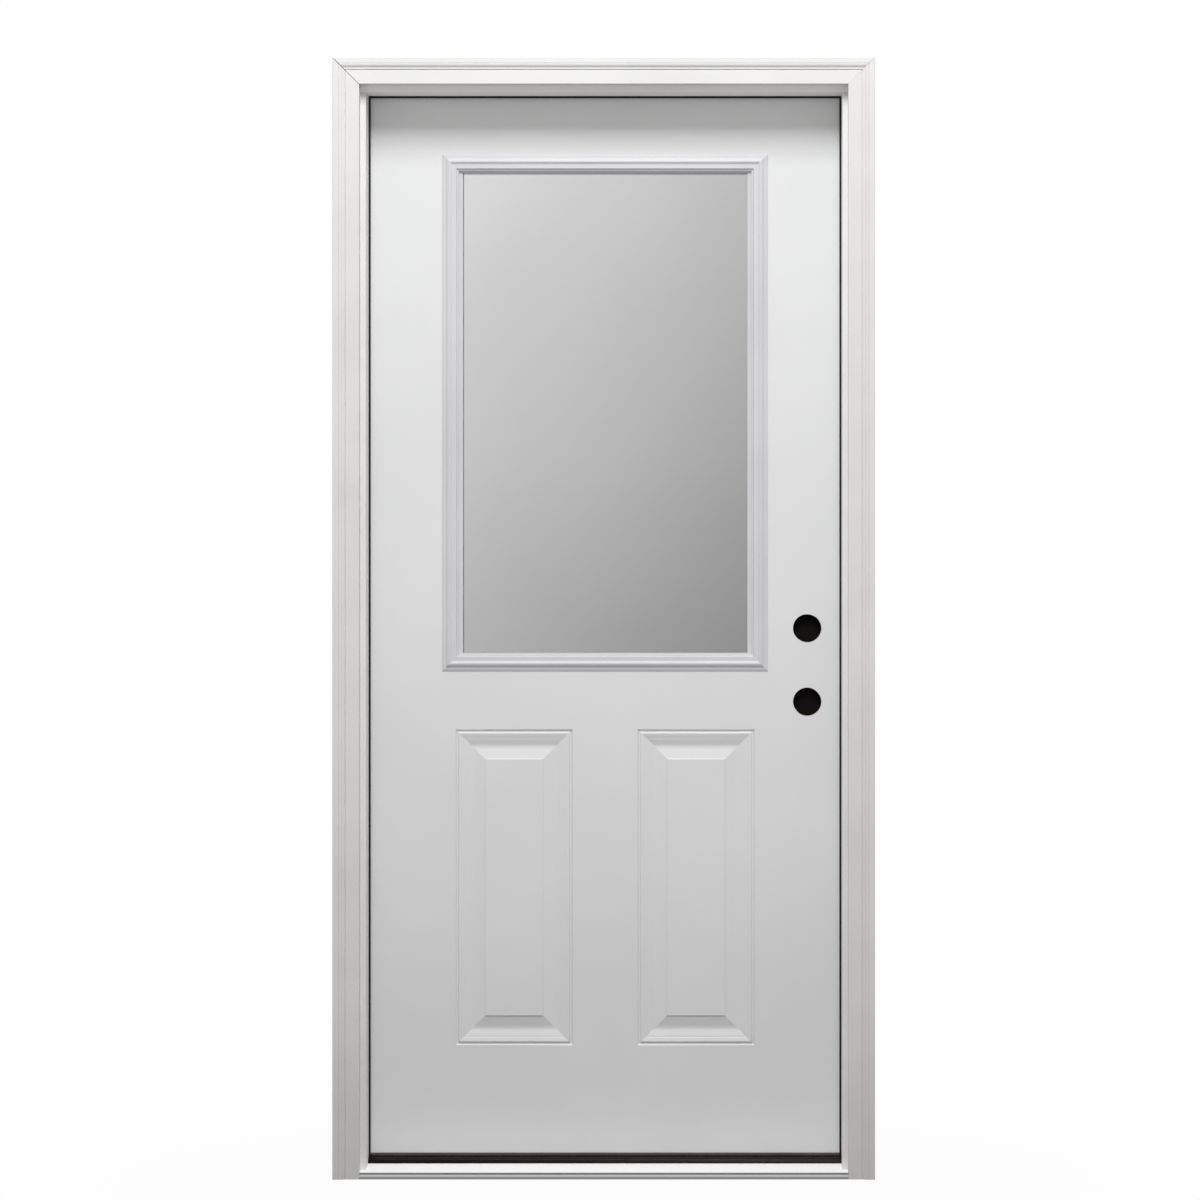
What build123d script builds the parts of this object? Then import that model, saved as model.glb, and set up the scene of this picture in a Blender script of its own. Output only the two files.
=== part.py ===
from build123d import *
import os

os.makedirs("parts", exist_ok=True)

# Axes: X to the right seen from outside, Y into the house, Z up.
# The origin is on the sill's underside, in the middle of the unit's width and
# in the plane where the brickmould meets the jambs' outside edges.

# Leaf
slab_width = 908.0
slab_height = 2013.0
slab_thickness = 44.45
slab_bottom = 38.0
skin = 0.6
skin_return = 9.0
lock_bevel = 2.8
stile_width = 25.4
rail_height = 38.0

# Jambs: rabbeted boards, thick at the stop and thin behind it
jamb_depth = 115.9
jamb_back = 16.75
stop_projection = 10.5
side_gap = 5.5
head_gap = 5.0
seal_gap = 5.95
kerf_width = 2.0
kerf_depth = 6.0
eased_edge = 1.2

# Brickmould: its depths are steps down from the highest bead
mould_width = 50.0
mould_thickness = 31.75
mould_reveal = 2.0
mould_flat = 4.45
mould_quirk = 5.55
mould_fillet = 3.05
mould_groove = 0.9
mould_soft_edge = 2.5
mould_outer_edge = 1.0

# Sill
sill_overhang = 27.0
sill_core_height = 18.4
deck_thickness = 2.0
deck_end = 47.0
deck_nose_height = 10.0
nose_step = 6.0
nose_top = 4.4
nose_lip = 8.5
nose_groove = 2.2
nose_hook = 1.5
deck_ease = 0.6
cap_top = 31.0
cap_round = 15.0
cap_back_round = 10.0

# Weatherstrip and sweep
seal_peek = 2.2
seal_clear = 1.0
seal_tuck = 7.0
seal_nose = 1.5
fin_clear = 0.3
sweep_clear = 1.0
sweep_fin = 2.0
sweep_base = 2.5
sweep_inset = 1.0

# Lite: the glazed opening and the moulded rings round it
lite_width = 619.0
lite_height = 982.0
lite_from_top = 115.5
lite_ring = 39.0
lite_crest = 12.5
glass_bite = 8.0
glass_edge_room = 3.0
glass_sheet = 3.2
glazing_thickness = 25.4
spacer_width = 8.0
spacer_inset = 2.0

# Pressed panels, with depths below the leaf's face
panel_width = 224.3
panel_offset = 173.0
panel_from_bottom = 203.35
panel_to_lite = 110.45
panel_ring = 57.5
panel_groove = 3.4
panel_bead = 0.5
panel_shoulder = 2.2
panel_recess = 9.0
panel_bevel = 2.0
panel_field = 0.7
press_lift = 1.0

# Lock preparation
backset = 69.85
cross_bore = 53.975
edge_bore = 25.4
latch_height = 895.0
bore_spacing = 139.7
lock_block_width = 88.0
lock_block_margin = 75.0
faceplate_width = 25.4
faceplate_height = 57.2
faceplate_depth = 2.4
plate_corner = 6.35
strike_plate_width = 28.6
strike_plate_depth = 1.6
strike_bore = 22.0

# Butt hinges
hinge_height = 101.6
hinge_leaf = 2.5
hinge_leaf_width = 26.0
hinge_leaf_corner = 15.8
leaf_past_face = 0.4
knuckle_radius = 7.15
knuckle_count = 5
knuckle_gap = 0.4
knuckle_root = 5.0
pin_radius = 3.95
pin_clearance = 0.05
pin_head = 5.5
pin_head_height = 3.0
barrel_clear = 0.95
hinge_from_top = 178.0
hinge_from_bottom = 279.0

# Places worked out from the sizes above
slab_front = jamb_depth - slab_thickness
slab_middle = slab_front + slab_thickness / 2
slab_top = slab_bottom + slab_height
slab_half = slab_width / 2
core_front = slab_front + skin
core_back = jamb_depth - skin
core_depth = core_back - core_front
rabbet_half = slab_half + side_gap
stop_half = rabbet_half - stop_projection
jamb_thickness = stop_projection + jamb_back
jamb_half = stop_half + jamb_thickness
stop_depth = slab_front - seal_gap
head_rabbet = slab_top + head_gap
head_stop = head_rabbet - stop_projection
jamb_top = head_stop + jamb_thickness
mould_soffit = head_rabbet + mould_reveal
deck_front = deck_thickness - sill_overhang
deck_back = deck_front + nose_step
deck_foot = sill_core_height + deck_thickness
seal_reach = seal_peek + stop_projection + kerf_depth - fin_clear
seal_depth = slab_front - seal_clear - stop_depth
deadbolt_height = latch_height + bore_spacing
lock_middle = (latch_height + deadbolt_height) / 2
bore_x = slab_half - backset
stile_inner = slab_half - stile_width
rail_inner_bottom = slab_bottom + rail_height
rail_inner_top = slab_top - rail_height
lite_centre = slab_top - lite_from_top - lite_height / 2
panel_low = slab_bottom + panel_from_bottom
panel_high = lite_centre - lite_height / 2 - panel_to_lite
panel_height = panel_high - panel_low
panel_centre = (panel_low + panel_high) / 2
glass_setback = (slab_thickness - glazing_thickness) / 2
glass_front = slab_front + glass_setback
glass_back = glass_front + glazing_thickness
glass_width = lite_width - 2 * (lite_ring - glass_bite)
glass_height = lite_height - 2 * (lite_ring - glass_bite)
cutout_width = glass_width + 2 * glass_edge_room
cutout_height = glass_height + 2 * glass_edge_room
hinge_x = -(slab_half + rabbet_half) / 2
hinge_y = jamb_depth + barrel_clear + knuckle_radius
knuckle_pitch = hinge_height / knuckle_count
lowest_hinge = slab_bottom + hinge_from_bottom + hinge_height / 2
highest_hinge = slab_top - hinge_from_top - hinge_height / 2
hinge_places = {
    "top": highest_hinge,
    "middle": (lowest_hinge + highest_hinge) / 2,
    "bottom": lowest_hinge,
}
lock_places = [(bore_x, latch_height), (bore_x, deadbolt_height)]
edge_places = [(slab_middle, latch_height), (slab_middle, deadbolt_height)]
panel_places = [(-panel_offset, 0, 0), (panel_offset, 0, 0)]
mid_plane = Plane(origin=(0, slab_middle, 0), z_dir=(0, 1, 0))


def write(piece, name):
    piece.label = name
    export_step(piece, f"parts/{name}.step")


def lock_edge(y):
    """Half width of the leaf on its lock side, where the edge is planed to a bevel."""
    return slab_half - lock_bevel * (jamb_depth - y) / slab_thickness


def shares(points, width, height):
    """Section points given as shares of a moulding's width and height."""
    return [(across * width, up * height) for across, up in points]


def leg_plane(side, half, low):
    """A leg's section on one side: x runs outward from the doorway, y into the house."""
    return Plane((side * half, 0, low), x_dir=(side, 0, 0), z_dir=(0, 0, side))


def head_plane(end, soffit):
    """A head piece's section at its right end: x runs up, y into the house."""
    return Plane((end, 0, soffit), x_dir=(0, 0, 1), z_dir=(-1, 0, 0))


def corner_mitre(side, half, soffit):
    return Plane((side * half, 0, soffit), x_dir=(0, 1, 0), z_dir=(-side, 0, 1))


def trim_leg(section, side, half, soffit, reach, low):
    """A leg of trim, mitred at its top."""
    with BuildPart() as leg:
        with BuildSketch(leg_plane(side, half, low)):
            add(section)
        extrude(amount=side * (soffit + reach - low))
        split(bisect_by=corner_mitre(side, half, soffit), keep=Keep.BOTTOM)
    return leg.part


def trim_head(section, half, soffit, reach):
    """The head piece of the same trim, mitred at both ends."""
    with BuildPart() as head:
        with BuildSketch(head_plane(half + reach, soffit)):
            add(section)
        extrude(amount=2 * (half + reach))
        for side in (-1, 1):
            split(bisect_by=corner_mitre(side, half, soffit), keep=Keep.TOP)
    return head.part


def mitred_ring(section, width, height, y, centre_z):
    """Four sticks of one section, mitred into a rectangle in the plane of the door.

    The section's x runs inward from the outer edge, and its y outward to the weather.
    """
    sides = [
        (Vector(0, 0, 1), width, height),
        (Vector(0, 0, -1), width, height),
        (Vector(1, 0, 0), height, width),
        (Vector(-1, 0, 0), height, width),
    ]
    with BuildPart() as ring:
        for inward, length, across in sides:
            along = inward.cross(Vector(0, -1, 0))
            middle = Vector(0, y, centre_z) - inward * (across / 2)
            with BuildSketch(Plane(middle, x_dir=inward, z_dir=along)):
                add(section)
            stick = extrude(amount=length / 2, both=True, mode=Mode.PRIVATE)
            for way in (1, -1):
                corner = middle + along * (way * length / 2)
                mitre_cut = Plane(corner, x_dir=(0, 1, 0), z_dir=inward + along * way)
                stick = split(stick, bisect_by=mitre_cut, keep=Keep.BOTTOM, mode=Mode.PRIVATE)
            add(stick)
    return ring.part


def panel_pocket(backing, lift):
    """What the press takes out of the outside face over one panel.

    The pocket is deeper by the sheet's backing, and starts a lift in front of the face.
    """
    profile = [
        (0.045, panel_groove * 0.94),
        (0.077, panel_groove),
        (0.097, panel_groove * 0.85),
        (0.13, panel_groove * 0.15 + panel_bead * 0.85),
        (0.17, panel_bead),
        (0.27, panel_bead * 0.3 + panel_shoulder * 0.7),
        (0.282, panel_shoulder),
        (0.303, panel_shoulder),
        (0.362, panel_shoulder * 0.8 + panel_recess * 0.2),
        (0.421, panel_shoulder / 2 + panel_recess / 2),
        (0.48, panel_shoulder * 0.2 + panel_recess * 0.8),
        (0.539, panel_recess),
        (0.567, panel_recess),
        (0.982, panel_bevel),
        (1.0, panel_field),
    ]
    field = -panel_field - backing
    with BuildSketch() as section:
        with BuildLine():
            Polyline(
                (0, lift),
                (0, -backing),
                *[(share * panel_ring, -depth - backing) for share, depth in profile],
                (panel_ring, lift),
                (0, lift),
            )
        make_face()
    border = mitred_ring(section.sketch, panel_width, panel_height, slab_front, panel_centre)
    with BuildPart() as pocket:
        add(border)
        with BuildSketch(Plane.XZ.offset(lift - slab_front)):
            with Locations((0, panel_centre)):
                Rectangle(panel_width - 2 * panel_ring, panel_height - 2 * panel_ring)
        extrude(amount=field - lift)
    return pocket.part


pressed_face = panel_pocket(0, press_lift)
pressed_back = panel_pocket(skin, 0)

# Both hinge leaves and their mortises have this outline, rounded away from the barrel
with BuildSketch() as leaf_outline:
    with Locations((jamb_depth - hinge_leaf_width, 0)):
        Rectangle(hinge_leaf_width + leaf_past_face, hinge_height, align=(Align.MIN, Align.CENTER))
    fillet(leaf_outline.vertices().group_by(Axis.X)[0], radius=hinge_leaf_corner)

with BuildSketch() as hinge_mortises:
    with Locations(*[(0, centre) for centre in hinge_places.values()]):
        add(leaf_outline.sketch)

# Jambs: x runs outward from the stop's face, y into the house
with BuildSketch() as board_section:
    with BuildLine():
        Polyline(
            (0, 0),
            (0, stop_depth),
            (stop_projection, stop_depth),
            (stop_projection, jamb_depth),
            (jamb_thickness, jamb_depth),
            (jamb_thickness, 0),
            close=True,
        )
    make_face()

with BuildSketch() as jamb_section:
    add(board_section.sketch)
    with Locations((stop_projection, stop_depth)):
        Rectangle(kerf_depth, kerf_width, align=(Align.MIN, Align.MIN), mode=Mode.SUBTRACT)
    fillet(jamb_section.vertices().sort_by_distance((0, 0))[0], radius=eased_edge)

with BuildPart() as head_board:
    with BuildSketch(head_plane(jamb_half, head_stop)):
        add(board_section.sketch)
    extrude(amount=2 * jamb_half)

with BuildPart() as head_jamb:
    with BuildSketch(head_plane(jamb_half, head_stop)):
        add(jamb_section.sketch)
    extrude(amount=2 * jamb_half)
write(head_jamb.part, "head_jamb")

with BuildPart() as strike_jamb:
    with BuildSketch(leg_plane(1, stop_half, 0)):
        add(jamb_section.sketch)
    extrude(amount=jamb_top)
    add(head_board.part, mode=Mode.SUBTRACT)
    with BuildSketch(Plane.YZ.offset(rabbet_half)):
        with Locations(*edge_places):
            RectangleRounded(strike_plate_width, faceplate_height, plate_corner)
    extrude(amount=strike_plate_depth, mode=Mode.SUBTRACT)
    with BuildSketch(Plane.YZ.offset(rabbet_half)):
        with Locations(*edge_places):
            Circle(strike_bore / 2)
    extrude(amount=jamb_back, mode=Mode.SUBTRACT)
write(strike_jamb.part, "strike_jamb")

with BuildPart() as hinge_jamb:
    with BuildSketch(leg_plane(-1, stop_half, 0)):
        add(jamb_section.sketch)
    extrude(amount=-jamb_top)
    add(head_board.part, mode=Mode.SUBTRACT)
    with BuildSketch(Plane.YZ.offset(-rabbet_half)):
        add(hinge_mortises.sketch)
    extrude(amount=-hinge_leaf, mode=Mode.SUBTRACT)
write(hinge_jamb.part, "hinge_jamb")

# Brickmould: a flat, a quirk, then a cove up to the outer band with its fine groove
with BuildSketch() as mould_section:
    bead = -mould_thickness
    with BuildLine():
        Polyline(
            (0, 0),
            (0, bead + mould_flat),
            (0.53 * mould_width, bead + mould_flat),
            (0.554 * mould_width, bead + mould_quirk),
            (0.58 * mould_width, bead + mould_quirk),
            (0.588 * mould_width, bead + mould_fillet),
            (0.66 * mould_width, bead + mould_fillet),
        )
        ThreePointArc(
            (0.66 * mould_width, bead + mould_fillet),
            (0.71 * mould_width, bead + 0.28 * mould_fillet),
            (0.784 * mould_width, bead),
        )
        Polyline(
            (0.784 * mould_width, bead),
            (0.802 * mould_width, bead + mould_groove),
            (0.82 * mould_width, bead),
            (mould_width, bead),
            (mould_width, 0),
            (0, 0),
        )
    make_face()
    corners = mould_section.vertices()
    fillet(corners.sort_by_distance((0, bead + mould_flat))[0], radius=mould_soft_edge)
    fillet(corners.sort_by_distance((mould_width, bead))[0], radius=mould_outer_edge)

with BuildPart() as brickmould_head:
    add(trim_head(mould_section.sketch, rabbet_half, mould_soffit, mould_width))
write(brickmould_head.part, "brickmould_head")

for name, side in (("brickmould_left", -1), ("brickmould_right", 1)):
    with BuildPart() as brickmould_leg:
        add(trim_leg(mould_section.sketch, side, rabbet_half, mould_soffit, mould_width, 0))
    write(brickmould_leg.part, name)

# Sill: a solid core, a sloped metal deck with a lipped nose, and a dark cap under the leaf
core_points = [
    (deck_front, 0),
    (deck_front, nose_top),
    (deck_back, nose_top),
    (deck_back, deck_nose_height),
    (deck_end, sill_core_height),
    (jamb_depth, sill_core_height),
    (jamb_depth, 0),
]
riser = deck_back - deck_thickness
deck_points = [
    (-sill_overhang, 0),
    (-sill_overhang, nose_top),
    (deck_ease - sill_overhang, nose_top + 2 * deck_ease),
    (riser - nose_groove, nose_lip),
    (riser - nose_groove, nose_lip - 2 * deck_ease),
    (riser, nose_lip - 2 * deck_ease),
    (riser, deck_nose_height + deck_ease),
    (riser - nose_hook, deck_nose_height + deck_ease),
    (riser - nose_hook, deck_nose_height + deck_thickness - deck_ease),
    (riser - nose_hook + deck_ease, deck_nose_height + deck_thickness),
    (deck_end, deck_foot),
    (deck_end, sill_core_height),
    (deck_back, deck_nose_height),
    (deck_back, nose_top),
    (deck_front, nose_top),
    (deck_front, 0),
]
cap_rise = cap_top - deck_foot
cap_points = [
    (deck_end, sill_core_height),
    (deck_end, deck_foot + deck_ease),
    (deck_end + 0.27 * cap_round, deck_foot + 0.15 * cap_rise),
    (deck_end + 0.37 * cap_round, deck_foot + 0.6 * cap_rise),
    (deck_end + 0.57 * cap_round, deck_foot + 0.68 * cap_rise),
    (deck_end + 0.67 * cap_round, deck_foot + 0.88 * cap_rise),
    (deck_end + 0.78 * cap_round, deck_foot + 0.97 * cap_rise),
    (deck_end + cap_round, cap_top),
    (jamb_depth - cap_back_round, cap_top),
    (jamb_depth - 0.4 * cap_back_round, cap_top - 0.15 * cap_back_round),
    (jamb_depth, cap_top - 0.5 * cap_back_round),
    (jamb_depth, sill_core_height),
]
for name, points in (("sill_core", core_points), ("sill_deck", deck_points), ("sill_cap", cap_points)):
    with BuildPart() as sill_piece:
        with BuildSketch(Plane.YZ.offset(-rabbet_half)):
            with BuildLine():
                Polyline(*points, close=True)
            make_face()
        extrude(amount=2 * rabbet_half)
        with BuildSketch(Plane.XY):
            with Locations((-rabbet_half, 0), (stop_half, 0)):
                Rectangle(stop_projection, stop_depth, align=(Align.MIN, Align.MIN))
        extrude(amount=cap_top, mode=Mode.SUBTRACT)
    write(sill_piece.part, name)

# Weatherstrip: a foam bulb behind each stop, peeking past its edge, on a fin in the kerf
with BuildSketch() as seal_section:
    bulb = seal_peek + seal_tuck
    fin_back = stop_depth + kerf_width - fin_clear
    with BuildLine():
        Polyline(
            (seal_nose, stop_depth),
            (0, stop_depth + seal_nose),
            (0, stop_depth + seal_depth - seal_nose),
            (seal_nose, stop_depth + seal_depth),
            (bulb - seal_nose, stop_depth + seal_depth),
            (bulb, fin_back),
            (seal_reach, fin_back),
            (seal_reach, stop_depth),
            close=True,
        )
    make_face()

seal_half = stop_half - seal_peek
seal_soffit = head_stop - seal_peek
with BuildPart() as weatherstrip_head:
    add(trim_head(seal_section.sketch, seal_half, seal_soffit, seal_reach))
write(weatherstrip_head.part, "weatherstrip_head")

for name, side in (("weatherstrip_left", -1), ("weatherstrip_right", 1)):
    with BuildPart() as weatherstrip_leg:
        add(trim_leg(seal_section.sketch, side, seal_half, seal_soffit, seal_reach, cap_top))
    write(weatherstrip_leg.part, name)

# Skins: pressed steel sheets folded round the leaf's long edges
with BuildSketch() as skin_holes:
    with Locations((0, lite_centre)):
        Rectangle(cutout_width, cutout_height)
    with Locations(*lock_places):
        Circle(cross_bore / 2)

with BuildPart() as exterior_skin:
    fold = slab_front + skin_return
    with BuildSketch(Plane.XY.offset(slab_bottom)):
        with BuildLine():
            Polyline(
                (-slab_half, fold),
                (-slab_half, slab_front),
                (lock_edge(slab_front), slab_front),
                (lock_edge(fold), fold),
                (lock_edge(fold) - skin, fold),
                (lock_edge(core_front) - skin, core_front),
                (-slab_half + skin, core_front),
                (-slab_half + skin, fold),
                close=True,
            )
        make_face()
    extrude(amount=slab_height)
    with BuildSketch(Plane.XZ.offset(-slab_front)):
        add(skin_holes.sketch)
    extrude(amount=-skin, mode=Mode.SUBTRACT)
    with Locations(*panel_places):
        add(pressed_back)
        add(pressed_face, mode=Mode.SUBTRACT)
write(exterior_skin.part, "exterior_skin")

with BuildPart() as interior_skin:
    fold = jamb_depth - skin_return
    with BuildSketch(Plane.XY.offset(slab_bottom)):
        with BuildLine():
            Polyline(
                (-slab_half, fold),
                (-slab_half, jamb_depth),
                (slab_half, jamb_depth),
                (lock_edge(fold), fold),
                (lock_edge(fold) - skin, fold),
                (lock_edge(core_back) - skin, core_back),
                (-slab_half + skin, core_back),
                (-slab_half + skin, fold),
                close=True,
            )
        make_face()
    extrude(amount=slab_height)
    with BuildSketch(Plane.XZ.offset(-jamb_depth)):
        add(skin_holes.sketch)
    extrude(amount=skin, mode=Mode.SUBTRACT)
    with Locations(*panel_places):
        add(pressed_back.mirror(mid_plane))
        add(pressed_face.mirror(mid_plane), mode=Mode.SUBTRACT)
    with BuildSketch(Plane.YZ.offset(-slab_half)):
        add(hinge_mortises.sketch)
    extrude(amount=hinge_leaf, mode=Mode.SUBTRACT)
write(interior_skin.part, "interior_skin")

# Timber edges of the leaf, the block behind the lock, and the foam between
with BuildPart() as hinge_stile:
    with BuildSketch(Plane.XY.offset(slab_bottom)):
        with Locations((-stile_inner, core_front)):
            Rectangle(stile_width - skin, core_depth, align=(Align.MAX, Align.MIN))
    extrude(amount=slab_height)
    with BuildSketch(Plane.YZ.offset(-slab_half)):
        add(hinge_mortises.sketch)
    extrude(amount=hinge_leaf, mode=Mode.SUBTRACT)
write(hinge_stile.part, "hinge_stile")

with BuildPart() as lock_stile:
    with BuildSketch(Plane.XY.offset(slab_bottom)):
        with BuildLine():
            Polyline(
                (stile_inner, core_front),
                (lock_edge(core_front) - skin, core_front),
                (lock_edge(core_back) - skin, core_back),
                (stile_inner, core_back),
                close=True,
            )
        make_face()
    extrude(amount=slab_height)
    planed_edge = Plane(
        (lock_edge(slab_middle) - skin, slab_middle, 0),
        x_dir=(lock_bevel, slab_thickness, 0),
        z_dir=(slab_thickness, -lock_bevel, 0),
    )
    with BuildSketch(planed_edge):
        with Locations((0, latch_height), (0, deadbolt_height)):
            RectangleRounded(faceplate_width, faceplate_height, plate_corner)
    extrude(amount=-faceplate_depth, mode=Mode.SUBTRACT)
    with BuildSketch(Plane.YZ.offset(stile_inner)):
        with Locations(*edge_places):
            Circle(edge_bore / 2)
    extrude(amount=stile_width, mode=Mode.SUBTRACT)
write(lock_stile.part, "lock_stile")

with BuildSketch() as block_face:
    with Locations((stile_inner, lock_middle)):
        Rectangle(
            lock_block_width,
            bore_spacing + 2 * lock_block_margin,
            align=(Align.MAX, Align.CENTER),
        )

with BuildPart() as lock_block:
    with BuildSketch(Plane.XZ.offset(-core_front)):
        add(block_face.sketch)
        with Locations(*lock_places):
            Circle(cross_bore / 2, mode=Mode.SUBTRACT)
    extrude(amount=-core_depth)
    with BuildSketch(Plane.YZ.offset(bore_x)):
        with Locations(*edge_places):
            Circle(edge_bore / 2)
    extrude(amount=stile_inner - bore_x, mode=Mode.SUBTRACT)
write(lock_block.part, "lock_block")

for name, low in (("bottom_rail", slab_bottom), ("top_rail", rail_inner_top)):
    with BuildPart() as rail:
        with BuildSketch(Plane.XY.offset(low)):
            with Locations((0, core_front)):
                Rectangle(2 * stile_inner, core_depth, align=(Align.CENTER, Align.MIN))
        extrude(amount=rail_height)
    write(rail.part, name)

with BuildPart() as foam_core:
    with BuildSketch(Plane.XY.offset(rail_inner_bottom)):
        with Locations((0, core_front)):
            Rectangle(2 * stile_inner, core_depth, align=(Align.CENTER, Align.MIN))
    extrude(amount=rail_inner_top - rail_inner_bottom)
    with BuildSketch(Plane.XZ.offset(-core_front)):
        add(block_face.sketch)
        with Locations((0, lite_centre)):
            Rectangle(cutout_width, cutout_height)
    extrude(amount=-core_depth, mode=Mode.SUBTRACT)
    with Locations(*panel_places):
        add(pressed_back, mode=Mode.SUBTRACT)
        add(pressed_back.mirror(mid_plane), mode=Mode.SUBTRACT)
write(foam_core.part, "foam_core")

# Lite frames: one moulded ring outside and its twin inside, clamped on the cut-out
with BuildSketch() as lite_section:
    rise = shares([(0, 0), (0, 0.13), (0.14, 0.45), (0.23, 0.51)], lite_ring, lite_crest)
    swell = shares([(0.23, 0.51), (0.31, 0.87), (0.45, 1)], lite_ring, lite_crest)
    crown = shares([(0.45, 1), (0.475, 1)], lite_ring, lite_crest)
    fall = shares([(0.475, 1), (0.555, 0.91), (0.59, 0.72)], lite_ring, lite_crest)
    shelf = shares([(0.59, 0.72), (0.744, 0.7)], lite_ring, lite_crest)
    cove = shares([(0.744, 0.7), (0.79, 0.48), (0.885, 0.4)], lite_ring, lite_crest)
    lip = shares([(0.885, 0.4), (0.936, 0.4), (0.949, 0.3), (1, 0.24)], lite_ring, lite_crest)
    with BuildLine():
        Polyline(*rise)
        ThreePointArc(*swell)
        Line(*crown)
        ThreePointArc(*fall)
        Line(*shelf)
        ThreePointArc(*cove)
        Polyline(
            *lip,
            (lite_ring, -glass_setback),
            (lite_ring - glass_bite, -glass_setback),
            (lite_ring - glass_bite, 0),
            (0, 0),
        )
    make_face()

with BuildPart() as lite_frame_exterior:
    add(mitred_ring(lite_section.sketch, lite_width, lite_height, slab_front, lite_centre))
write(lite_frame_exterior.part, "lite_frame_exterior")

with BuildPart() as lite_frame_interior:
    add(lite_frame_exterior.part.mirror(mid_plane))
write(lite_frame_interior.part, "lite_frame_interior")

# Glazing unit: two panes on a spacer ring
for name, face in (("glass_exterior", glass_front), ("glass_interior", glass_back - glass_sheet)):
    with BuildPart() as pane:
        with BuildSketch(Plane.XZ.offset(-face)):
            with Locations((0, lite_centre)):
                Rectangle(glass_width, glass_height)
        extrude(amount=-glass_sheet)
    write(pane.part, name)

with BuildPart() as glass_spacer:
    with BuildSketch(Plane.XZ.offset(-glass_front - glass_sheet)):
        inner = spacer_inset + spacer_width
        with Locations((0, lite_centre)):
            Rectangle(glass_width - 2 * spacer_inset, glass_height - 2 * spacer_inset)
            Rectangle(glass_width - 2 * inner, glass_height - 2 * inner, mode=Mode.SUBTRACT)
    extrude(amount=-(glazing_thickness - 2 * glass_sheet))
write(glass_spacer.part, "glass_spacer")

# Sweep under the leaf: a base strip with soft fins that stop just short of the sill cap
with BuildPart() as door_sweep:
    with BuildSketch(Plane.YZ.offset(-slab_half + skin)):
        sweep_depth = core_depth - 2 * sweep_inset
        fin_pitch = (sweep_depth - sweep_fin) / 2
        fin_height = slab_bottom - cap_top - sweep_clear
        with Locations((core_front + sweep_inset, slab_bottom)):
            Rectangle(sweep_depth, sweep_base, align=(Align.MIN, Align.MAX))
            with GridLocations(fin_pitch, 1, 3, 1, align=(Align.MIN, Align.MIN)):
                Rectangle(sweep_fin, fin_height, align=(Align.MIN, Align.MAX))
    extrude(amount=lock_edge(slab_front) + slab_half - 2 * skin)
write(door_sweep.part, "door_sweep")

# Hinges: the first, third and fifth knuckles belong to the jamb's leaf, the others to the door's
for place, centre in hinge_places.items():
    low = centre - hinge_height / 2
    leaves = (
        ("frame_leaf", -rabbet_half, -hinge_leaf, 0),
        ("door_leaf", -slab_half, hinge_leaf, 1),
    )
    for name, face, thickness, first_knuckle in leaves:
        with BuildPart() as leaf:
            with BuildSketch(Plane.YZ.offset(face)):
                with Locations((0, centre)):
                    add(leaf_outline.sketch)
            extrude(amount=thickness)
            for index in range(first_knuckle, knuckle_count, 2):
                with BuildSketch(Plane.XY.offset(low + index * knuckle_pitch + knuckle_gap / 2)):
                    with Locations((hinge_x, hinge_y)):
                        Circle(knuckle_radius)
                    with Locations((face + thickness / 2, jamb_depth)):
                        Rectangle(hinge_leaf, knuckle_root, align=(Align.CENTER, Align.MIN))
                extrude(amount=knuckle_pitch - knuckle_gap)
            with BuildSketch(Plane.XY.offset(low)):
                with Locations((hinge_x, hinge_y)):
                    Circle(pin_radius + pin_clearance)
            extrude(amount=hinge_height, mode=Mode.SUBTRACT)
        write(leaf.part, f"hinge_{place}_{name}")

    with BuildPart() as pin:
        with BuildSketch(Plane.XY.offset(low)):
            with Locations((hinge_x, hinge_y)):
                Circle(pin_radius)
        extrude(amount=hinge_height)
        with BuildSketch(Plane.XY.offset(low + hinge_height)):
            with Locations((hinge_x, hinge_y)):
                Circle(pin_head)
        extrude(amount=pin_head_height)
    write(pin.part, f"hinge_{place}_pin")
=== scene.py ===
import math

import bmesh
import bpy
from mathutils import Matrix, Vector


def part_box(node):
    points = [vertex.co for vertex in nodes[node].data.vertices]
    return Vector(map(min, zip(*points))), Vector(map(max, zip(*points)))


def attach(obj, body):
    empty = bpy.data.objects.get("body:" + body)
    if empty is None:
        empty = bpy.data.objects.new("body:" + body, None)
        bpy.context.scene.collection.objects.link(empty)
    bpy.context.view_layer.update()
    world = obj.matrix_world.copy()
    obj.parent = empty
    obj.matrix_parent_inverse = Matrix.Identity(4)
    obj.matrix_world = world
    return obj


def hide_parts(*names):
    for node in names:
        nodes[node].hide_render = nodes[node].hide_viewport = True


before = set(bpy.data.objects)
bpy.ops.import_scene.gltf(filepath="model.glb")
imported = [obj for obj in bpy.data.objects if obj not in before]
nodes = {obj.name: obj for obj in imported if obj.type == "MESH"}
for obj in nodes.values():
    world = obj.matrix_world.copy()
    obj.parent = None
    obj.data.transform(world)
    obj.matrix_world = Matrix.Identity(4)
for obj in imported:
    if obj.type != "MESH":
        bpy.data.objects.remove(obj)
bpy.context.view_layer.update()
mm = 0.001
print("frame loaded:", len(nodes), "nodes")

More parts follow.
